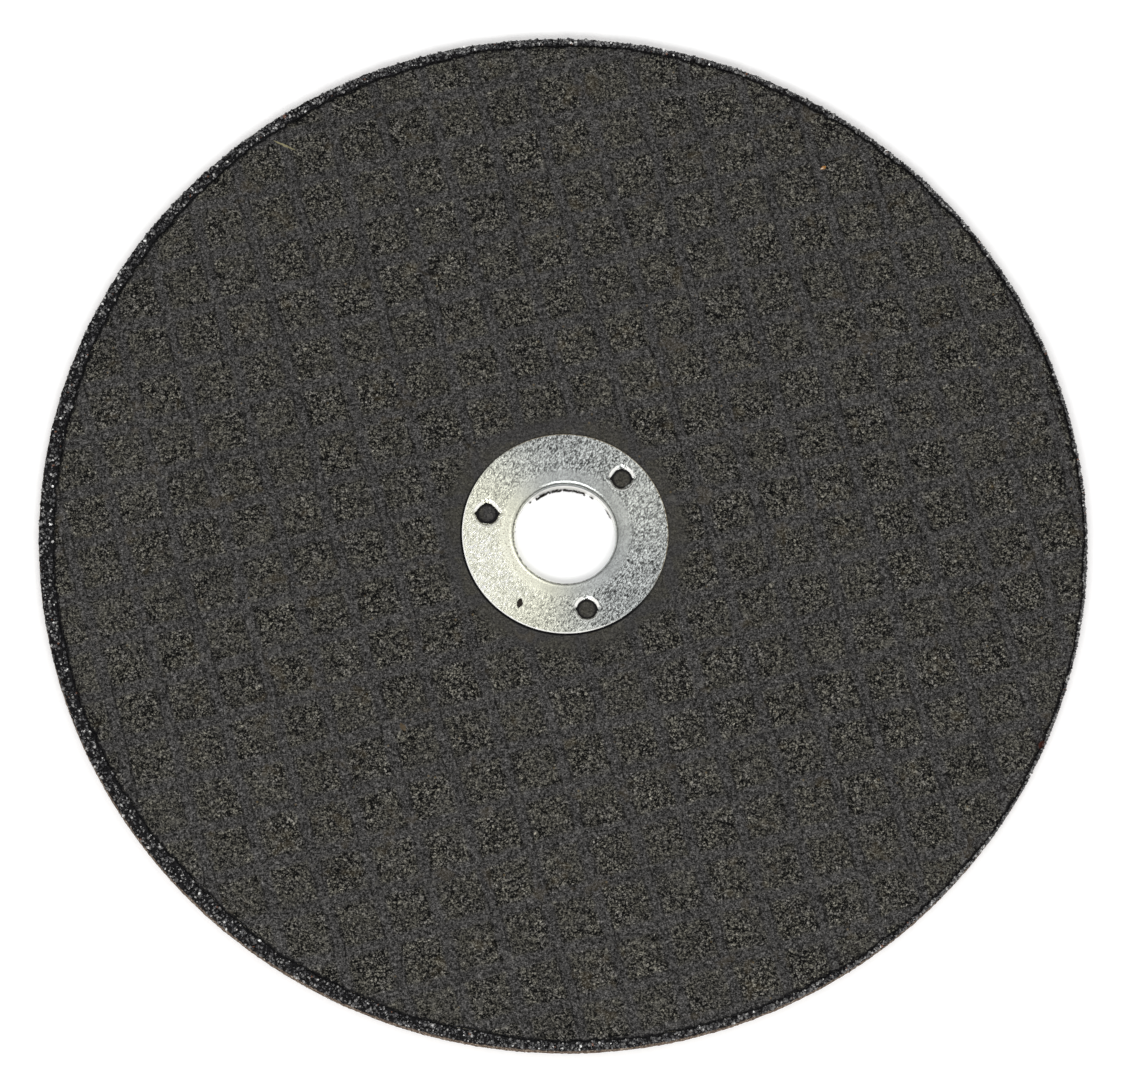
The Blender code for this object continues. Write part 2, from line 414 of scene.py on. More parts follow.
FLEECE_SPACING = 0.74 * MM
FLEECE_SEGMENTS = 240
EDGE_WAVE = 0.5 * MM
NEAR_BLACK = (0.004, 0.004, 0.005)

# Marks on the fleece: place in millimetres, direction in degrees, half width and length, and colour
FLEECE_MARKS = (
    ((-62.5, 89.0), -24, (0.24, 2.9), (0.27, 0.245, 0.14)),
    ((57.6, 85.3), 30, (0.42, 0.75), (0.36, 0.17, 0.045)),
    ((57.3, 85.15), 30, (0.2, 0.4), (0.7, 0.58, 0.45)),
    ((-35.3, -43.9), -60, (0.6, 1.1), (0.085, 0.062, 0.036)),
    ((-6.6, -67.3), 50, (0.18, 0.4), (0.42, 0.39, 0.32)),
)
RUST_MARK = ((103.8, -46.5), 60, (0.6, 1.1), (0.06, 0.016, 0.01))
SEAT_WIDTH = 4.4 * MM


def fleece_edge(angle):
    """Radius of the fleece's wavy, off-centre edge at an angle round the bore."""
    cx, cy = FLEECE_CENTRE.x, FLEECE_CENTRE.y
    along = cx * np.cos(angle) + cy * np.sin(angle)
    across = cx * np.sin(angle) - cy * np.cos(angle)
    circle = along + np.sqrt(FLEECE_R ** 2 - across ** 2)
    around = on_circle(1.0, angle, 0.0) * FLEECE_R
    wave = 0.4 * noise(around, 7 * MM, SEED) + 0.4 * noise(around, 2.2 * MM, SEED + 1)
    wave += 0.35 * noise(around, 0.9 * MM, SEED + 6)
    return circle - 0.05 * MM + EDGE_WAVE * wave


def net_place(points):
    """Two distances across the net's yarns, bent as slack yarns are."""
    x, y = points[:, 0] - NET_SHIFT[0], points[:, 1] - NET_SHIFT[1]
    flat = flattened(points)
    u = x * math.cos(NET_ANGLE) + y * math.sin(NET_ANGLE)
    v = y * math.cos(NET_ANGLE) - x * math.sin(NET_ANGLE)
    u = u + NET_SLACK * noise(flat, 34 * MM, SEED + 2) + 0.25 * MM * noise(flat, 9 * MM, SEED + 3)
    v = v + NET_SLACK * noise(flat, 34 * MM, SEED + 4) + 0.25 * MM * noise(flat, 9 * MM, SEED + 5)
    return u, v


def from_yarn(distance):
    """Distance to the middle of the nearest yarn."""
    return np.abs((distance / NET_PITCH + 0.5) % 1.0 - 0.5) * NET_PITCH


def face_relief(points):
    """Height of the fleece over its mean level: flat bands over yarns, lumps of grain between."""
    flat = flattened(points)
    u, v = net_place(points)
    over_u = 1 - smooth(YARN_HALF * 0.8, YARN_HALF * 1.5, from_yarn(u))
    over_v = 1 - smooth(YARN_HALF * 0.8, YARN_HALF * 1.5, from_yarn(v))
    yarn = np.maximum(over_u, over_v)
    first, _, own = cells(flat, 2.1 * MM, SEED + 10)
    lumps = (0.55 - first) * (0.4 + 0.6 * own)
    swell = noise(flat, 26 * MM, SEED + 20) * 0.02 * MM
    height = 0.035 * MM * yarn + (1 - yarn) * (0.1 * MM * lumps - 0.015 * MM) + swell
    height += 0.012 * MM * layered_noise(flat, 1.6 * MM, SEED + 21)
    radius, angle = polar(points)
    rough = smooth(RING_R + 0.8 * MM, RING_R + SEAT_WIDTH + 1.5 * MM, radius)
    seat = 1 - smooth(RING_R - 0.6 * MM, RING_R + SEAT_WIDTH, radius)
    curl = 1 - smooth(0.0, 1.3 * MM, fleece_edge(angle) - radius)
    return height * (0.15 + 0.85 * rough) - 0.1 * MM * seat - 0.12 * MM * curl


def make_fleece():
    """The fleece as a closed sheet, dense on top and plain underneath."""
    loops = Loops()
    radius = FLEECE_BORE_R
    segments = FLEECE_SEGMENTS
    top = []
    while radius < FLEECE_R - FLEECE_SPACING / 2:
        angle = turn(segments)
        share = (radius - FLEECE_BORE_R) / (FLEECE_R - FLEECE_BORE_R)
        top.append(loops.ring(radius + share * (fleece_edge(angle) - FLEECE_R), FLEECE_TOP, segments))
        if 2 * math.pi * radius / segments > FLEECE_SPACING * 0.98 and segments < 4 * FLEECE_SEGMENTS:
            segments *= 2
        radius += FLEECE_SPACING
    edge = fleece_edge(turn(segments))
    top.append(loops.ring(edge, FLEECE_TOP, segments))
    for inner, outer in itertools.pairwise(top):
        loops.join(inner, outer)
    points = loops.all_points()
    points[:, 2] += face_relief(points) - 0.02 * MM
    loops.points = [points]
    low_edge = loops.ring(edge - 0.05 * MM, FLEECE_LOW - 0.1 * MM, segments)
    low_bore = loops.ring(FLEECE_BORE_R, FLEECE_LOW, FLEECE_SEGMENTS)
    loops.join(top[-1], low_edge)
    loops.join(low_edge, low_bore)
    loops.join(low_bore, top[0])
    piece = loops.piece("back_fleece_cloth")
    points = vertices(piece)
    u, v = net_place(points)
    store(piece, "net_u", u / MM)
    store(piece, "net_v", v / MM)
    radius, angle = polar(points)
    store(piece, "to_edge", (fleece_edge(angle) - radius) / MM)
    piece.data.materials.append(fleece_material())
    return piece


def fleece_material():
    g = Graph("black_fleece_cloth")
    pitch = NET_PITCH / MM
    half = YARN_HALF / MM

    def yarn_distance(name):
        wrapped = g.math("WRAP", g.attribute(name), pitch / 2, -pitch / 2)
        return g.math("ABSOLUTE", wrapped)

    wobble = g.around_zero(g.noise(1.6, 1.0, seed=3.0), 1.8)
    du = g.plus(yarn_distance("net_u"), wobble)
    dv = g.plus(yarn_distance("net_v"), wobble)
    yarn_u = g.fade(du, half * 0.6, half * 1.6)
    yarn_v = g.fade(dv, half * 0.6, half * 1.6)
    yarn = g.strongest(yarn_u, yarn_v)
    radius = g.radius()
    seat = g.remap(radius, RING_R / MM + 1.5, RING_R / MM + 7.0, 0.0, 1.0)
    patchy = g.remap(g.noise(8.0, 2.0, seed=9.0), 0.38, 0.62, 0.35, 1.0)
    bare = g.minus(1.0, g.times(yarn, 0.95))
    area = g.times(bare, patchy, seat)

    # Felted lumps, gaps between grains that get painted shade, and stray fibres
    fine = g.noise(0.44, 1.0, 0.65, distortion=0.6, seed=1.0)
    middle = g.noise(0.85, 1.0, 0.5, distortion=0.4, seed=2.0)
    gap = g.voronoi(0.95, "SMOOTH_F1", place=distorted(g, 0.4, 0.7))
    lump = g.fade(gap, 0.18, 0.72)
    between = g.voronoi(0.82, "DISTANCE_TO_EDGE", place=distorted(g, 0.45, 0.55))
    depth = g.remap(g.noise(1.3, 1.0, seed=16.0), 0.4, 0.6, 0.15, 1.0)
    crevice_shade = g.times(g.fade(between, 0.03, 0.2), depth, area)
    fibre = g.strongest(fibres(g, 2.6, 0.012, 11.0), fibres(g, 5.0, 0.006, 12.0))

    # Lines at the edges of the yarns: painted shade along one set, painted highlight along the other
    breaks = g.remap(g.noise(5.5, 1.0, seed=21.0), 0.46, 0.58)
    lines = g.noise(4.0, 1.0, seed=23.0)
    straight = g.plus(yarn_distance("net_u"), g.around_zero(lines, 1.6))
    pale_breaks = g.remap(g.noise(4.0, 1.0, seed=22.0), 0.45, 0.6)
    yarn_edge_shade = g.times(edge_line(g, straight, half * 0.9, 0.24, breaks), seat)
    yarn_edge_highlight = g.times(edge_line(g, dv, half * 1.04, 0.3, pale_breaks), seat)

    # Relief
    height = g.plus(g.times(fine, 0.5), g.times(middle, 0.35), g.times(lump, area, 0.5))
    height = g.minus(height, g.times(yarn_edge_shade, 0.5))
    normal = g.bump(height, 0.3)

    # Colour: brownish grain between yarns, cooler grey over them
    factor = fleece_contrast(g, fine, middle, lump, area, seat, crevice_shade)
    base = g.mix(yarn, (0.0388, 0.037, 0.0305), (0.0342, 0.0332, 0.0322))
    tint = g.remap(g.noise(2.2, 2.0, seed=31.0), 0.35, 0.65)
    base = g.mix(g.times(tint, 0.5), base, (0.0345, 0.033, 0.0322))
    warm = g.remap(g.noise(6.0, 2.0, 0.65, seed=41.0), 0.62, 0.72)
    speck = g.fade(g.voronoi(5.5), 0.0, 0.07)
    # Over the base: painted shade and painted highlight along the yarns' edges, then pale fibres, warm
    # patches, specks and marks
    colour = g.layered(
        g.scale_colour(base, factor),
        (yarn_edge_shade, 0.62, (0.006, 0.0055, 0.0055)),
        (yarn_edge_highlight, 0.25, (0.1, 0.096, 0.088)),
        (fibre, 0.3, (0.13, 0.125, 0.11)),
        (warm, 0.22, (0.085, 0.067, 0.038)),
        (speck, 0.6, (0.2, 0.15, 0.08)),
    )
    for place, degrees, sizes, mark_colour in FLEECE_MARKS:
        mark = spot(g, place, degrees, sizes)
        colour = g.layered(colour, (mark, 0.85, mark_colour))
    # Painted shadow: a ragged near-black line along the fleece's edge, where it meets the band
    ragged = g.math("MULTIPLY_ADD", g.noise(0.9, 2.0, 0.6, seed=51.0), 1.6, -0.55)
    edge = g.fade(g.minus(g.attribute("to_edge"), ragged), 0.0, 0.35)
    colour = g.layered(colour, (edge, 0.85, NEAR_BLACK))
    colour = rusty(g, shaded_by_ring(g, colour, radius))
    g.set(Base_Color=colour, Roughness=0.8, Specular_IOR_Level=0.1, Normal=normal)
    return g.material


def fleece_contrast(g, fine, middle, lump, area, seat, crevice_shade):
    """How bright each place is beside its neighbours: strongest over grain, weakest in the seat. Lumps'
    middles are lighter and pits and crevices darker, as painted light and shade.
    """
    finest = g.noise(0.27, 0.0, seed=6.0)
    signal = g.plus(
        g.around_zero(fine, 8.0),
        g.around_zero(middle, 1.8),
        g.around_zero(finest, 3.0),
    )
    on_cells = g.remap(area, 0.0, 1.0, 0.82, 1.25, "LINEAR")
    off_seat = g.remap(seat, 0.0, 1.0, 0.45, 1.0)
    signal = g.times(signal, g.times(on_cells, off_seat))
    # Painted light and shade: lighter over the lumps' middles, darker in pits and in crevices between
    # grains
    signal = g.plus(signal, g.times(g.minus(lump, 0.62), g.times(area, 0.8)))
    pit_shade = g.remap(g.noise(0.75, 1.0, 0.6, distortion=0.6, seed=8.0), 0.57, 0.7)
    signal = g.minus(signal, g.times(pit_shade, area, 1.1))
    signal = g.minus(signal, g.times(crevice_shade, 2.8))
    signal = g.plus(signal, g.times(area, 0.5))
    level = g.strongest(g.math("MULTIPLY_ADD", signal, 0.45, 1.07), 0.15)
    return g.math("POWER", level, 2.4)


def shaded_by_ring(g, colour, radius):
    """The fleece's colour with painted shadow: darker in a line under the flange on one side, as if it
    stood off the fleece there, and round the piercings.
    """
    shadow_side = g.remap(g.toward(FLANGE_SHADOW_SIDE), -0.35, 0.4)
    within = g.fade(radius, RING_R / MM + 0.3, RING_R / MM + 0.55)
    flange_shadow = g.times(within, g.remap(radius, RING_R / MM - 1.0, RING_R / MM - 0.8))
    colour = g.layered(colour, (flange_shadow, shadow_side, (0.003, 0.003, 0.004)))
    # Painted shadow in a ring round each piercing
    for index in range(3):
        x, y = hole_centre(index) / MM
        ends = {0: g.place, 1: (x, y, FLEECE_TOP / MM)}
        away = g.node("ShaderNodeVectorMath", ends, operation="DISTANCE").outputs["Value"]
        shade = g.times(g.remap(away, 1.5, 1.95), g.fade(away, 2.6, 3.0))
        colour = g.layered(colour, (shade, 0.9, NEAR_BLACK))
    return colour


def distorted(g, amount, size):
    """The place, pushed about by noise."""
    inputs = {"Vector": g.place, "Scale": 1.0 / size, "Detail": 2.0}
    push = g.node("ShaderNodeTexNoise", inputs).outputs["Color"]
    centred = g.vector("SUBTRACT", push, (0.5, 0.5, 0.5))
    return g.vector("ADD", g.place, g.vector("SCALE", centred, scale=amount * 2))


def rusty(g, colour):
    """The colour with a rust-red mark that lies across the fleece's edge and the band."""
    place, degrees, sizes, rust = RUST_MARK
    return g.layered(colour, (spot(g, place, degrees, sizes), 0.8, rust))


def fibres(g, size, width, seed):
    """Thin curved threads: where smooth noise passes its middle value."""
    line = g.near(g.noise(size, 0.0, seed=seed), 0.5, width * 0.3, width)
    shown = g.remap(g.noise(size * 1.3, 1.0, seed=seed + 0.5), 0.5, 0.56)
    return g.times(line, shown)


def edge_line(g, distance, place, width, shown):
    """A broken line at a distance from the middle of a yarn."""
    return g.times(g.near(distance, place, width * 0.3, width), shown)


# ------------ abrasive

RIM_SEGMENTS = 1920
RIM_ROUND = 0.35 * MM
BAND_TOP = FLEECE_TOP - 0.12 * MM
COARSE = RIM_SEGMENTS // 8
WALL_ROWS = 5
BAND_GRAINS = 8000
WALL_GRAINS = 2400

# Colours of the band's grains, each from a value of the grain's own number on: few are pale or brown,
# and the pale and white ones are partly pale grain and partly painted glints
GRAIN_COLOURS = (
    (0.6, 0.62, (0.045, 0.044, 0.047)),
    (0.76, 0.77, (0.095, 0.094, 0.094)),
    (0.88, 0.885, (0.18, 0.177, 0.172)),
    (0.95, 0.952, (0.36, 0.355, 0.345)),
    (0.982, 0.984, (0.75, 0.75, 0.73)),
    (0.994, 0.995, (0.14, 0.06, 0.035)),
)

# Where the rim is a little short of grain, and where it stands a little proud
RIM_LOW_ANGLE = math.radians(-38)
RIM_LOW_SPREAD = math.radians(45)
RIM_LOW_DEPTH = 0.6 * MM
RIM_HIGH_ANGLE = math.radians(-118)
RIM_HIGH_DEPTH = 0.25 * MM


def rim_wear(angle):
    """How far the rim lies inside the true circle at an angle: one side is a little short of grain."""
    low = angle_between(angle, RIM_LOW_ANGLE)
    high = angle_between(angle, RIM_HIGH_ANGLE)
    short = RIM_LOW_DEPTH * np.exp(-(low / RIM_LOW_SPREAD) ** 2)
    return short - RIM_HIGH_DEPTH * np.exp(-(high / RIM_LOW_SPREAD) ** 2)


def grain_push(points, normal, share):
    """Moves points along their normals as coarse broken grain does."""
    first, second, own = cells(points, 0.75 * MM, SEED + 40)
    facet = smooth(0.02, 0.35, second - first) * (0.3 + 0.7 * own)
    fine = noise(points, 0.35 * MM, SEED + 50)
    broad = noise(points, 5 * MM, SEED + 51)
    push = (0.26 * facet + 0.05 * fine + 0.08 * broad - 0.04) * MM
    return points + normal * (push * share)[:, None]


class GrittyRows(Loops):
    """Dense loops round the rim that are roughened as broken grain is, closed by plain hidden ones."""

    def __init__(self, face_up):
        super().__init__()
        self.outward = on_circle(1.0, turn(RIM_SEGMENTS), 0.0)
        self.face = np.array([[0.0, 0.0, face_up]])
        self.rows = []
        self.normals = []
        self.shares = []

    def row(self, radius, height, tilt, share):
        """A loop that faces outwards by a tilt in degrees from the wheel's face, rough by a share."""
        self.rows.append(self.ring(radius, height, RIM_SEGMENTS))
        lean = math.radians(tilt)
        self.normals.append(self.outward * math.sin(lean) + self.face * math.cos(lean))
        self.shares.append(np.full(RIM_SEGMENTS, share))

    def roughen(self):
        """Faces between the rows so far, pushed out and in as grain."""
        for a, b in itertools.pairwise(self.rows):
            self.join(a, b)
        normals = np.concatenate(self.normals)
        shares = np.concatenate(self.shares)
        self.points = [grain_push(self.all_points(), normals, shares)]

    def close(self, hidden):
        """Faces back from the last row to the first, through plain loops of a radius and a height."""
        plain = [self.ring(radius, height, COARSE) for radius, height in hidden]
        for a, b in itertools.pairwise([self.rows[-1]] + plain + [self.rows[0]]):
            self.join(a, b)


def make_back_abrasive():
    """The back layer: a gritty band outside the fleece, a gritty wall, and plain hidden faces."""
    loops = GrittyRows(1.0)
    angle = turn(RIM_SEGMENTS)
    inner = fleece_edge(angle) + 0.05 * MM
    wheel = WHEEL_R - rim_wear(angle)
    outer = wheel - RIM_ROUND
    loops.row(inner, BAND_TOP - 0.06 * MM, 0, 0.0)
    band_rows = 8
    for k in range(band_rows):
        t = k / band_rows
        loops.row(inner + (outer - inner) * t, BAND_TOP, 0, 0.35 + 0.65 * min(1.0, 3 * t))
    for tilt in (15, 45, 75):
        lean = math.radians(tilt)
        radius = outer + RIM_ROUND * math.sin(lean)
        loops.row(radius, BAND_TOP - RIM_ROUND * (1 - math.cos(lean)), tilt, 1.0)
    wall_top = BAND_TOP - RIM_ROUND
    for k in range(WALL_ROWS + 1):
        loops.row(wheel, wall_top + (SEAM_Z + 0.01 * MM - wall_top) * k / WALL_ROWS, 90, 0.55)
    loops.roughen()
    loops.close([
        (WHEEL_R - 1.5 * MM, SEAM_Z + 0.02 * MM),
        (LAYER_BORE_R, SEAM_Z + 0.02 * MM),
        (LAYER_BORE_R, BAND_TOP - 0.5 * MM),
        (fleece_edge(turn(COARSE)) - 1.0 * MM, BAND_TOP - 0.5 * MM),
    ])
    in_band, band_sizes = band_grains(BAND_GRAINS, SEED + 70)
    on_wall, wall_sizes = wall_grains(WALL_GRAINS, SEAM_Z + 0.1 * MM, wall_top, SEED + 71)
    places = np.concatenate([in_band, on_wall])
    sizes = np.concatenate([band_sizes, wall_sizes])
    return grainy(loops.piece("back_abrasive_grain"), places, sizes, SEED + 72)


def make_front_abrasive():
    """The front layer: a gritty wall and a gritty underside round the net and the label."""
    loops = GrittyRows(-1.0)
    low = front_box[0].z
    wheel = WHEEL_R - rim_wear(turn(RIM_SEGMENTS))
    wall_low = low + RIM_ROUND
    for k in range(WALL_ROWS + 1):
        loops.row(wheel, SEAM_Z - 0.01 * MM + (wall_low - SEAM_Z) * k / WALL_ROWS, 90, 0.55)
    for tilt in (60, 30):
        lean = math.radians(tilt)
        radius = wheel - RIM_ROUND * (1 - math.sin(lean))
        loops.row(radius, low + RIM_ROUND * (1 - math.cos(lean)), tilt, 0.6)
    for step in range(4):
        loops.row(wheel - RIM_ROUND - step * 0.4 * MM, low + 0.05 * MM, 0, 0.4)
    loops.roughen()
    loops.close([
        (WHEEL_R - 1.9 * MM, low + 0.38 * MM),
        (LAYER_BORE_R, low + 0.38 * MM),
        (LAYER_BORE_R, SEAM_Z - 0.02 * MM),
        (WHEEL_R - 1.5 * MM, SEAM_Z - 0.02 * MM),
    ])
    places, sizes = wall_grains(WALL_GRAINS, low + 0.2 * MM, SEAM_Z - 0.1 * MM, SEED + 73)
    bits, bit_sizes = bore_flash(SEED + 75)
    places = np.concatenate([places, bits])
    sizes = np.concatenate([sizes, bit_sizes])
    return grainy(loops.piece("front_abrasive_grain"), places, sizes, SEED + 74)


def shards(centres, sizes, seed):
    """Points and faces of broken grains, each with eight corners and twelve flat sides, and numbers."""
    random = np.random.default_rng(seed)
    corners = []
    for k in range(4):
        angle = math.radians(90 * k)
        lift = 0.5 + 0.12 * (-1) ** k
        corners.append((0.8 * math.cos(angle), 0.8 * math.sin(angle), lift))
        angle += math.radians(45)
        corners.append((0.8 * math.cos(angle), 0.8 * math.sin(angle), -lift))
    corners = np.array(corners)
    sides = hull_faces(corners)
    count = len(centres)
    turned = np.linalg.qr(random.normal(size=(count, 3, 3)))[0]
    stretch = random.uniform(0.65, 1.3, (count, 1, 3))
    jitter = random.uniform(0.75, 1.2, (count, len(corners), 1))
    shapes = (corners[None] * jitter * stretch) @ turned
    points = centres[:, None] + shapes * sizes[:, None, None]
    faces = sides[None] + (np.arange(count) * len(corners))[:, None, None]
    own = np.repeat(random.uniform(0, 1, count), len(corners))
    return points.reshape(-1, 3), faces.reshape(-1, 3), own


def hull_faces(corners):
    """The triangles of the convex hull of a few points, facing outwards."""
    faces = []
    for a, b, c in itertools.combinations(range(len(corners)), 3):
        normal = np.cross(corners[b] - corners[a], corners[c] - corners[a])
        heights = (corners - corners[a]) @ normal
        if np.all(heights < 1e-6):
            faces.append((a, b, c))
        elif np.all(heights > -1e-6):
            faces.append((a, c, b))
    return np.array(faces)


def grainy(piece, centres, sizes, seed):
    """Adds broken grains to a piece and keeps each grain's number."""
    base = vertices(piece)
    base_own = cells(base, 0.75 * MM, SEED + 40)[2] * 0.5
    faces = [tuple(face.vertices) for face in piece.data.polygons]
    points, sides, own = shards(centres, sizes, seed)
    mesh = bpy.data.meshes.new(piece.name)
    all_points = np.concatenate([base, points])
    mesh.from_pydata(all_points.tolist(), [], faces + (sides + len(base)).tolist())
    smooth_faces = np.zeros(len(mesh.polygons), bool)
    smooth_faces[:len(faces)] = True
    mesh.polygons.foreach_set("use_smooth", smooth_faces)
    piece.data = mesh
    store(piece, "own", np.concatenate([base_own, 0.5 + 0.5 * own]))
    mesh.materials.append(grain_material())
    return piece


def band_grains(count, seed):
    """Places and sizes of grains that lie in the bare band round the fleece."""
    random = np.random.default_rng(seed)
    angle = random.uniform(0, 2 * math.pi, count)
    inner = fleece_edge(angle) + 0.25 * MM
    outer = WHEEL_R - rim_wear(angle) - 0.1 * MM
    radius = inner + (outer - inner) * random.uniform(0, 1, count)
    sizes = (0.17 + 0.28 * random.uniform(0, 1, count) ** 1.4) * MM
    height = BAND_TOP + random.uniform(0.1, 0.3, count) * MM
    return on_circle(radius, angle, height), sizes


def wall_grains(count, low, high, seed):
    """Places and sizes of grains that stick out of the side wall between two heights."""
    random = np.random.default_rng(seed)
    angle = random.uniform(0, 2 * math.pi, count)
    sizes = random.uniform(0.14, 0.3, count) * MM
    radius = WHEEL_R - rim_wear(angle) - sizes * random.uniform(0.3, 0.9, count)
    height = random.uniform(low, high, count)
    return on_circle(radius, angle, height), sizes


def bore_flash(seed):
    """Places and sizes of resin bits squeezed past the collar's lower end, most on the far side."""
    random = np.random.default_rng(seed)
    places = []
    sizes = []
    for start, end, count, reach in FLASH_RUNS:
        for angle in np.radians(np.linspace(start, end, count)):
            size = random.uniform(0.12, 0.25) * MM
            depth = random.uniform(0.1, 1.0) * reach
            radius = BORE_R - depth
            places.append((radius * math.cos(angle), radius * math.sin(angle), 0.26 * MM))
            sizes.append(size)
    return np.array(places), np.array(sizes)


def grain_material():
    name = "rim_grain"
    if name in bpy.data.materials:
        return bpy.data.materials[name]
    g = Graph(name)
    own = g.attribute("own")
    radius = g.radius()
    height = g.separate(g.place)[2]
    outermost = g.remap(radius, WHEEL_R / MM - 1.3, WHEEL_R / MM - 0.6)
    on_wall = g.times(outermost, g.fade(height, 3.0, 3.48))
    chips = g.voronoi(0.36, output="Color")
    chip = g.separate(chips)[0]
    cloudy = g.noise(0.6, 2.0, 0.7, seed=2.0)
    dark = g.mix(cloudy, (0.002, 0.002, 0.0025), (0.013, 0.0125, 0.0135))
    for start, end, grain_colour in GRAIN_COLOURS:
        dark = g.mix(g.remap(own, start, end), dark, grain_colour)
    dark = g.scale_colour(dark, g.remap(chip, 0.0, 1.0, 0.4, 1.6, "LINEAR"))
    wall = g.mix(chip, (0.18, 0.135, 0.105), (0.42, 0.34, 0.27))
    wall = g.mix(g.remap(cloudy, 0.4, 0.56), wall, (0.085, 0.062, 0.048))
    wall = g.mix(g.remap(own, 0.88, 0.92), wall, (0.6, 0.55, 0.48))
    colour = g.mix(on_wall, dark, wall)
    rough = g.remap(chip, 0.0, 1.0, 0.12, 0.4)
    relief = g.plus(g.voronoi(0.36), g.times(cloudy, 0.5))
    normal = g.bump(relief, 0.08)
    in_bore = g.fade(radius, 14.0, 16.0)
    colour = g.mix(in_bore, colour, (0.014, 0.011, 0.009))
    colour = rusty(g, colour)
    dull = g.strongest(on_wall, in_bore)
    glossy = g.times(g.remap(own, 0.5, 0.53, 0.06, 0.6), g.minus(1.0, dull))
    g.set(Base_Color=colour, Roughness=rough, Specular_IOR_Level=glossy, Normal=normal)
    return g.material


# ------------ steel ring

RING_SEGMENTS = 576
RING_ROWS = 44
PIERCING_R = 17.7 * MM
PIERCING_ANGLES = tuple(math.radians(45.5 + 120 * k) for k in range(3))
DISH_DEPTH = 0.42 * MM
DISH_WIDTH = 1.3 * MM
DENT_PLACE = (-9.97, -15.95)
DENT_TURN = 75
HOLE_SIZES = (2.08 * MM, 2.35 * MM, 2.05 * MM)
HOLE_CORNERS = (2.0, 1.4, 2.0)
HOLE_NOTCHES = (0.2, 0.14, 0.22)


def hole_outline(index, angle):
    """Radius of a pierced hole at an angle: round below, cornered above as a four-sided punch leaves."""
    power = np.where(np.sin(angle) > 0, HOLE_CORNERS[index], 2.0)
    body = (np.abs(np.cos(angle)) ** power + np.abs(np.sin(angle)) ** power) ** (-1 / power)
    notch = np.zeros_like(angle)
    for place in (0.0, math.pi / 2, math.pi):
        share = 0.45 if place == math.pi / 2 else 1.0
        notch += share * np.exp(-(angle_between(angle, place) / 0.13) ** 2)
    return HOLE_SIZES[index] * (body + HOLE_NOTCHES[index] * notch)


def hole_centre(index):
    angle = PIERCING_ANGLES[index]
    return np.array([PIERCING_R * math.cos(angle), PIERCING_R * math.sin(angle)])


def hole_place(points, index):
    """Each point's distance past a hole's outline and its angle round that hole."""
    away, around = polar(points[:, :2] - hole_centre(index))
    return away - hole_outline(index, around), around


def hole_prism(index):
    """A cutter through the ring with the hole's outline."""
    segments = 72
    angle = turn(segments)
    radius = hole_outline(index, angle)
    centre = hole_centre(index)
    shape = bmesh.new()
    low = [
        shape.verts.new((centre[0] + r * math.cos(a), centre[1] + r * math.sin(a), RING_TOP - 1.5 * MM))
        for r, a in zip(radius, angle)
    ]
    face = shape.faces.new(low)
    grown = bmesh.ops.extrude_face_region(shape, geom=[face])["geom"]
    moved = [item for item in grown if isinstance(item, bmesh.types.BMVert)]
    bmesh.ops.translate(shape, verts=moved, vec=(0.0, 0.0, 3 * MM))
    bmesh.ops.recalc_face_normals(shape, faces=shape.faces)
    mesh = bpy.data.meshes.new(f"hole_{index}")
    shape.to_mesh(mesh)
    shape.free()
    return new_object(f"hole_{index}", mesh)


def ring_profile():
    """(radius, height) from the flange's underside round its edge, over the top and down the collar."""
    edge = 0.12 * MM
    under = RING_TOP - SHEET
    rows = [(RING_R - 2 * MM, under), (RING_R - edge / 2, under), (RING_R, under + edge / 2)]
    for tilt in (0, 30, 60):
        lean = math.radians(tilt)
        rows.append((RING_R - edge * (1 - math.cos(lean)), RING_TOP - edge * (1 - math.sin(lean))))
    flat_in = BORE_R + ROLL_R
    for k in range(RING_ROWS + 1):
        rows.append((RING_R - edge + (flat_in - RING_R + edge) * k / RING_ROWS, RING_TOP))
    for tilt in range(10, 91, 10):
        lean = math.radians(tilt)
        radius = flat_in - ROLL_R * math.sin(lean)
        rows.append((radius, RING_TOP - ROLL_R * (1 - math.cos(lean))))
    wall_top = RING_TOP - ROLL_R
    for k in range(1, 9):
        rows.append((BORE_R, wall_top + (RING_LOW - wall_top) * k / 8))
    rows.append((BORE_R + SHEET, RING_LOW))
    rows.append((BORE_R + SHEET, RING_TOP - ROLL_R))
    rows.append((BORE_R + SHEET * 1.6, RING_TOP - ROLL_R * 0.55))
    rows.append((BORE_R + ROLL_R, under))
    return rows


def ring_relief(points):
    """How far the ring's sheet is pushed up or down: orange peel and dished piercings."""
    flat = flattened(points)
    radius, angle = polar(points)
    outer = smooth(BORE_R + 1.6 * MM, BORE_R + 3.2 * MM, radius)
    lively = 0.55 + 0.45 * np.cos(angle - math.radians(25))
    peel = 0.6 * noise(flat, 0.85 * MM, SEED + 60) + 0.4 * noise(flat, 0.45 * MM, SEED + 61)
    lift = 0.03 * MM * peel * outer * (0.45 + 0.75 * lively)
    lift += 0.006 * MM * noise(flat, 2.4 * MM, SEED + 62)
    for index in range(3):
        past, _ = hole_place(points, index)
        lift -= DISH_DEPTH * (1 - smooth(-0.1 * MM, DISH_WIDTH, past)) ** 1.6
        lift += 0.03 * MM * np.exp(-((past - 1.25 * MM) / (0.4 * MM)) ** 2)
    return lift


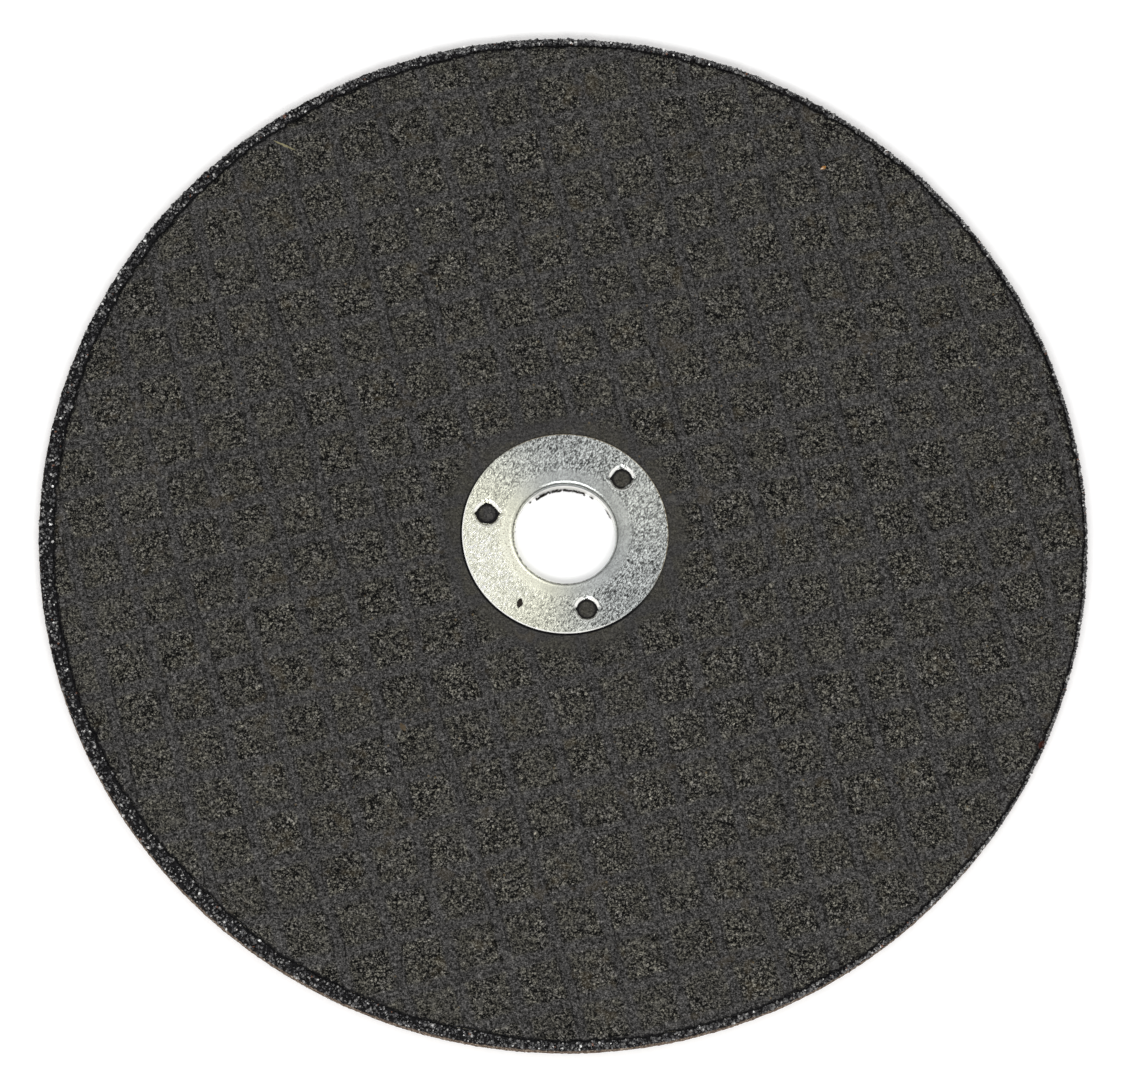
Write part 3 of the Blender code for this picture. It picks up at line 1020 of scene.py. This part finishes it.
def make_ring():
    loops = Loops()
    rows = [loops.ring(radius, height, RING_SEGMENTS) for radius, height in ring_profile()]
    for a, b in itertools.pairwise(rows + [rows[0]]):
        loops.join(a, b)
    piece = loops.piece("centre_ring_plated")
    refine_near_holes(piece)
    cutters = [hole_prism(index) for index in range(3)]
    for cutter in cutters:
        modifier = piece.modifiers.new(cutter.name, "BOOLEAN")
        modifier.operation = "DIFFERENCE"
        modifier.solver = "MANIFOLD"
        modifier.object = cutter
    apply_modifiers(piece)
    for cutter in cutters:
        bpy.data.objects.remove(cutter, do_unlink=True)
    points = vertices(piece)
    on_flange = smooth(BORE_R + 0.2 * MM, BORE_R + ROLL_R, polar(points)[0])
    points[:, 2] += ring_relief(points) * on_flange
    set_vertices(piece, points)
    shaded(piece, 50)
    store_hole_places(piece)
    piece.data.materials.clear()
    piece.data.materials.append(ring_material())
    return piece


def store_hole_places(piece):
    """Keeps each vertex's distance from the nearest hole's outline and its direction from that hole."""
    points = vertices(piece)
    gap = np.full(len(points), 9.0)
    right = np.zeros(len(points))
    up = np.zeros(len(points))
    for index in range(3):
        past, around = hole_place(points, index)
        nearest = past / MM < gap
        gap = np.where(nearest, past / MM, gap)
        right = np.where(nearest, np.cos(around), right)
        up = np.where(nearest, np.sin(around), up)
    store(piece, "hole_gap", gap)
    store(piece, "hole_right", right)
    store(piece, "hole_up", up)


def refine_near_holes(piece):
    """Halves the faces round the piercings."""
    shape = bmesh.new()
    shape.from_mesh(piece.data)
    near = []
    for edge in shape.edges:
        middle = (edge.verts[0].co + edge.verts[1].co) / 2
        if middle.z < RING_TOP - 0.01 * MM:
            continue
        for index in range(3):
            centre = hole_centre(index)
            if math.hypot(middle.x - centre[0], middle.y - centre[1]) < 3.6 * MM:
                near.append(edge)
    bmesh.ops.subdivide_edges(shape, edges=near, cuts=1, use_grid_fill=True)
    bmesh.ops.triangulate(shape, faces=[face for face in shape.faces if len(face.verts) > 4])
    shape.to_mesh(piece.data)
    shape.free()


def apply_modifiers(piece):
    graph = bpy.context.evaluated_depsgraph_get()
    mesh = bpy.data.meshes.new_from_object(piece.evaluated_get(graph))
    piece.modifiers.clear()
    piece.data = mesh


def ring_material():
    """Bright zinc with painted light: paler on the side that a slightly warped sheet would turn to the
    light, and painted highlights and shade at edges, piercings and collar.
    """
    g = Graph("zinc_plated_sheet")
    radius = g.radius()
    # Painted light: swing, built from the directions below, makes the zinc paler or darker and shifts
    # its tint by direction round the bore
    once = g.toward(200)
    across = g.toward(23)
    twice = g.minus(g.times(across, across, 2.0), 1.0)
    swing = g.plus(g.times(once, 0.3), g.times(twice, 0.17))
    broad = g.remap(g.noise(6.0, 2.0, 0.6, seed=1.0), 0.3, 0.7, -0.12, 0.12, "LINEAR")
    mottle = g.noise(0.55, 2.0, 0.7, distortion=0.5, seed=2.0)
    leaned = stretched(g, 60, 0.5)
    wrinkle = g.noise(0.5, 1.0, 0.6, distortion=0.8, place=leaned, seed=6.0)
    crease = g.near(wrinkle, 0.5, 0.0, 0.06)
    fine = g.noise(0.3, 1.0, 0.5, place=leaned, seed=8.0)
    speckle = g.remap(mottle, 0.3, 0.7, -0.32, 0.32, "LINEAR")
    speckle = g.plus(speckle, g.remap(fine, 0.3, 0.7, -0.5, 0.5, "LINEAR"))
    speckle = g.minus(speckle, g.times(crease, 0.75))
    speckle = g.plus(g.math("MINIMUM", speckle, 0.22), 0.07)
    on_flange = g.remap(radius, 13.6, 15.2, 0.25, 1.0)
    lively = g.times(g.remap(swing, -0.3, 0.35, 1.15, 0.75), on_flange)
    tone = g.plus(swing, broad, g.times(speckle, lively))
    zinc = g.mix(g.remap(swing, -0.3, 0.2), (0.56, 0.585, 0.58), (0.69, 0.69, 0.575))
    spots = g.remap(g.noise(0.5, 2.0, 0.7, seed=3.0), 0.7, 0.76)
    dent = spot(g, DENT_PLACE, DENT_TURN, (0.65, 1.15))
    scuff_zone = g.times(g.remap(radius, 15.6, 14.4), g.remap(once, 0.6, 0.9))
    scuff = g.times(g.remap(g.noise(0.4, 2.0, 0.7, seed=7.0), 0.58, 0.66), scuff_zone)
    edge_highlight, brown, bore_shade_line = ring_edges(g, radius)
    wall, roll_dark_reflection = collar_masks(g)
    bevel_highlights, shade, outline = hole_masks(g)
    # Painted highlights: the flange's lit edge, the piercings' bevels and the far collar wall, drawn
    # pale and not metallic
    pale = g.strongest(edge_highlight, bevel_highlights, wall)
    colour = g.layered(
        g.scale_colour(zinc, g.plus(tone, 1.0)),
        (spots, 0.6, (0.3, 0.24, 0.16)),
        (scuff, 0.5, (0.25, 0.16, 0.1)),
        (dent, 1.0, (0.035, 0.03, 0.025)),
        (roll_dark_reflection, 0.85, (0.03, 0.035, 0.05)),
        (brown, 1.0, (0.3, 0.24, 0.15)),
        (bore_shade_line, 1.0, (0.03, 0.028, 0.03)),
        (shade, 0.6, (0.16, 0.14, 0.1)),
        (pale, 1.0, (0.93, 0.92, 0.88)),
        (outline, 1.0, (0.012, 0.01, 0.01)),
    )
    relief = g.minus(g.times(mottle, 1.2), g.times(crease, 0.35))
    relief = g.minus(g.times(relief, on_flange), g.times(dent, 1.5))
    normal = g.bump(relief, 0.09)
    g.set(Base_Color=colour, Metallic=g.minus(1.0, pale), Roughness=0.26, Normal=normal)
    return g.material


def hole_masks(g):
    """Painted light round the piercings: pale painted highlights on the bevels (a wide one above, a thin
    one below), painted shade on their lower side, and a dark outline.
    """
    gap = g.attribute("hole_gap")
    up = g.attribute("hole_up")
    sideways = g.math("ABSOLUTE", g.attribute("hole_right"))
    bevel_highlight = g.times(
        g.remap(gap, 0.14, 0.3),
        g.fade(gap, 0.65, 1.0),
        g.remap(up, 0.0, 0.3),
        g.remap(sideways, 0.2, 0.5),
    )
    lip_highlight = g.times(g.near(gap, 0.62, 0.05, 0.2), g.remap(up, -0.1, -0.4))
    outline = g.fade(gap, 0.08, 0.28)
    shade = g.times(g.fade(gap, 0.2, 0.55), g.remap(up, 0.0, -0.6))
    return g.strongest(bevel_highlight, g.times(lip_highlight, 0.6)), shade, outline


def ring_edges(g, radius):
    """The flange's edge with a pale painted highlight low on the left and brown elsewhere, and a dark
    line of painted shade along the bore, strongest on the near side.
    """
    rim = g.remap(radius, RING_R / MM - 0.3, RING_R / MM - 0.16)
    edge_highlight = g.times(rim, g.remap(g.toward(228), 0.1, 0.6))
    brown = g.times(rim, g.remap(g.toward(48), 0.0, 0.5, 0.0, 0.7))
    dots = g.remap(g.noise(0.5, 1.0, seed=9.0), 0.46, 0.54, 0.25, 1.0)
    near_side = g.remap(g.toward(215), 0.0, 0.6, 0.35, 0.9)
    bore_shade_line = g.times(g.near(radius, BORE_R / MM + 0.3, 0.1, 0.32), dots, near_side)
    return edge_highlight, brown, bore_shade_line


def collar_masks(g):
    """Painted light on the far side of the collar: the wall painted pale as if lit, and a dark painted
    reflection line above it under the roll.
    """
    height = g.separate(g.place)[2]
    wall = g.times(g.remap(height, 2.95, 2.75, 0.0, 0.9), g.remap(g.toward(95), -0.2, 0.4))
    roll_dark_reflection = g.times(g.near(height, 3.1, 0.06, 0.2), g.remap(g.toward(95), 0.1, 0.8))
    return wall, roll_dark_reflection


def stretched(g, degrees, share):
    """The place, drawn out along one direction so that textures get long in it."""
    along, across, height = g.turned(degrees)
    inputs = {0: g.times(along, share), 1: across, 2: height}
    return g.node("ShaderNodeCombineXYZ", inputs).outputs[0]


def spot(g, place, degrees, sizes):
    """A small leaf-shaped mark, 1 inside and 0 outside, at a place in millimetres."""
    moved = g.vector("SUBTRACT", distorted(g, 0.25, 0.8), (place[0], place[1], 0.0))
    along, across, _ = g.turned(degrees, moved)
    far = g.math("DIVIDE", g.math("ABSOLUTE", along), sizes[1])
    wide = g.math("DIVIDE", g.math("ABSOLUTE", across), sizes[0])
    return g.fade(g.plus(g.times(far, far), wide), 0.8, 1.1)


# ------------ inner pieces and the front

def net_material():
    """Resin-soaked glass yarns, with strands that run along each set."""
    g = Graph("glass_yarn_strands")
    strands = []
    for across in g.turned(math.degrees(NET_ANGLE))[:2]:
        swing = g.plus(g.times(across, 18.0), g.times(g.noise(2.0), 3.0))
        strands.append(g.math("SINE", swing))
    height = g.times(g.plus(strands[0], strands[1]), 0.25)
    colour = g.mix(g.noise(1.5, 3.0, seed=2.0), (0.34, 0.3, 0.2), (0.55, 0.52, 0.42))
    g.set(Base_Color=colour, Roughness=0.45, Normal=g.bump(height, 0.05))
    return g.material


def label_material():
    """Plain paper with two printed rings and no lettering."""
    g = Graph("label_paper_print")
    radius = g.radius()
    paper = g.mix(g.noise(0.6, 4.0, 0.7), (0.66, 0.64, 0.57), (0.78, 0.76, 0.7))
    ring = g.math("COMPARE", radius, 46.0, 5.0)
    thin = g.math("COMPARE", radius, 26.0, 0.5)
    colour = g.mix(ring, paper, (0.06, 0.1, 0.13))
    colour = g.mix(thin, colour, (0.06, 0.1, 0.13))
    fibres_height = g.noise(0.35, 3.0, 0.7, seed=3.0)
    g.set(Base_Color=colour, Roughness=0.75, Normal=g.bump(fibres_height, 0.02))
    return g.material


def dress_cad_nodes():
    """Materials for the CAD nodes that stay."""
    net = net_material()
    finishes = {
        "back_glass_net": net,
        "hub_glass_net": net,
        "front_glass_net": net,
        "paper_label": label_material(),
    }
    for name, material in finishes.items():
        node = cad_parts[name]
        node.data.materials.clear()
        node.data.materials.append(material)


# ------------ stage

CAMERA_DISTANCE = 1.383
CAMERA_TILT = math.radians(15.55)
CAMERA_AZIMUTH = math.radians(-7.62)
CAMERA_AIM = Vector((-0.62 * MM, -2.81 * MM, 0.0))
CAMERA_LENS = 202.1
SENSOR_WIDTH = 36.0


def facing_matrix(place, back, up_hint):
    right = (-back).cross(up_hint).normalized()
    up = right.cross(-back)
    matrix = Matrix((right, up, back)).transposed().to_4x4()
    matrix.translation = place
    return matrix


def make_camera():
    camera = new_object("camera", bpy.data.cameras.new("camera"))
    tilt, azimuth = CAMERA_TILT, CAMERA_AZIMUTH
    back = Vector((
        math.sin(azimuth) * math.sin(tilt),
        -math.cos(azimuth) * math.sin(tilt),
        math.cos(tilt),
    ))
    aim = CAMERA_AIM + Vector((0.0, 0.0, FLEECE_TOP))
    camera.matrix_world = facing_matrix(aim + back * CAMERA_DISTANCE, back, Vector((0.0, 1.0, 0.0)))
    camera.data.lens = CAMERA_LENS
    camera.data.sensor_width = SENSOR_WIDTH
    camera.data.clip_start = 0.05
    camera.data.clip_end = 20.0
    bpy.context.scene.camera = camera


def soft_light(name, azimuth, elevation, distance, size, power):
    """A soft light, so wide and so high, that looks at the wheel. Azimuth 0 is right, 90 is away."""
    a, e = math.radians(azimuth), math.radians(elevation)
    back = Vector((math.cos(a) * math.cos(e), math.sin(a) * math.cos(e), math.sin(e)))
    light = bpy.data.lights.new(name, "AREA")
    light.shape = "RECTANGLE"
    light.size, light.size_y = size
    light.energy = power
    lamp = new_object(name, light)
    lamp.matrix_world = facing_matrix(back * distance, back, Vector((0.0, 0.3, 1.0)))


def make_world():
    """Soft light from above, a dim band near the horizon for metal to mirror, and a pale backdrop."""
    world = bpy.data.worlds.new("studio")
    bpy.context.scene.world = world
    world.use_nodes = True
    tree = world.node_tree
    place = tree.nodes.new("ShaderNodeTexCoord")
    split = tree.nodes.new("ShaderNodeSeparateXYZ")
    ramp = tree.nodes.new("ShaderNodeMapRange")
    ramp.interpolation_type = "SMOOTHSTEP"
    for index, value in enumerate((0.12, 0.5, 0.05, 0.72), start=1):
        ramp.inputs[index].default_value = value
    path = tree.nodes.new("ShaderNodeLightPath")
    seen = tree.nodes.new("ShaderNodeMix")
    seen.inputs[3].default_value = 0.95
    background = tree.nodes["Background"]
    background.inputs[0].default_value = (1.0, 1.0, 1.0, 1.0)
    tree.links.new(place.outputs["Generated"], split.inputs[0])
    tree.links.new(split.outputs[2], ramp.inputs[0])
    tree.links.new(path.outputs["Is Camera Ray"], seen.inputs[0])
    tree.links.new(ramp.outputs[0], seen.inputs[2])
    tree.links.new(seen.outputs[0], background.inputs[1])


def make_stage():
    floor_mesh = bpy.data.meshes.new("floor")
    shape = bmesh.new()
    bmesh.ops.create_grid(shape, x_segments=1, y_segments=1, size=3.0)
    shape.to_mesh(floor_mesh)
    shape.free()
    floor = new_object("floor", floor_mesh)
    floor.location.z = -0.0001
    g = Graph("pale_floor")
    g.set(Base_Color=(0.93, 0.93, 0.93), Roughness=0.9, Specular_IOR_Level=0.1)
    g.set(Emission_Color=(1.0, 1.0, 1.0), Emission_Strength=0.14)
    floor_mesh.materials.append(g.material)
    make_world()
    soft_light("key", -98, 57, 1.5, (1.1, 0.42), 12)
    soft_light("fill", 60, 55, 1.6, (0.8, 0.8), 2)
    bpy.context.scene.view_settings.view_transform = "Standard"


# ------------ assembly

def add(piece, slot_name, *nodes):
    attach(piece, "root")
    if nodes:
        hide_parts(*nodes)
    return piece


add(make_fleece(), "fleece", "back_fleece")
add(make_back_abrasive(), "abrasive", "back_abrasive_layer")
add(make_front_abrasive(), "abrasive", "front_abrasive_layer")
add(make_ring(), "ring_steel", "centre_ring")
dress_cad_nodes()
make_stage()
make_camera()
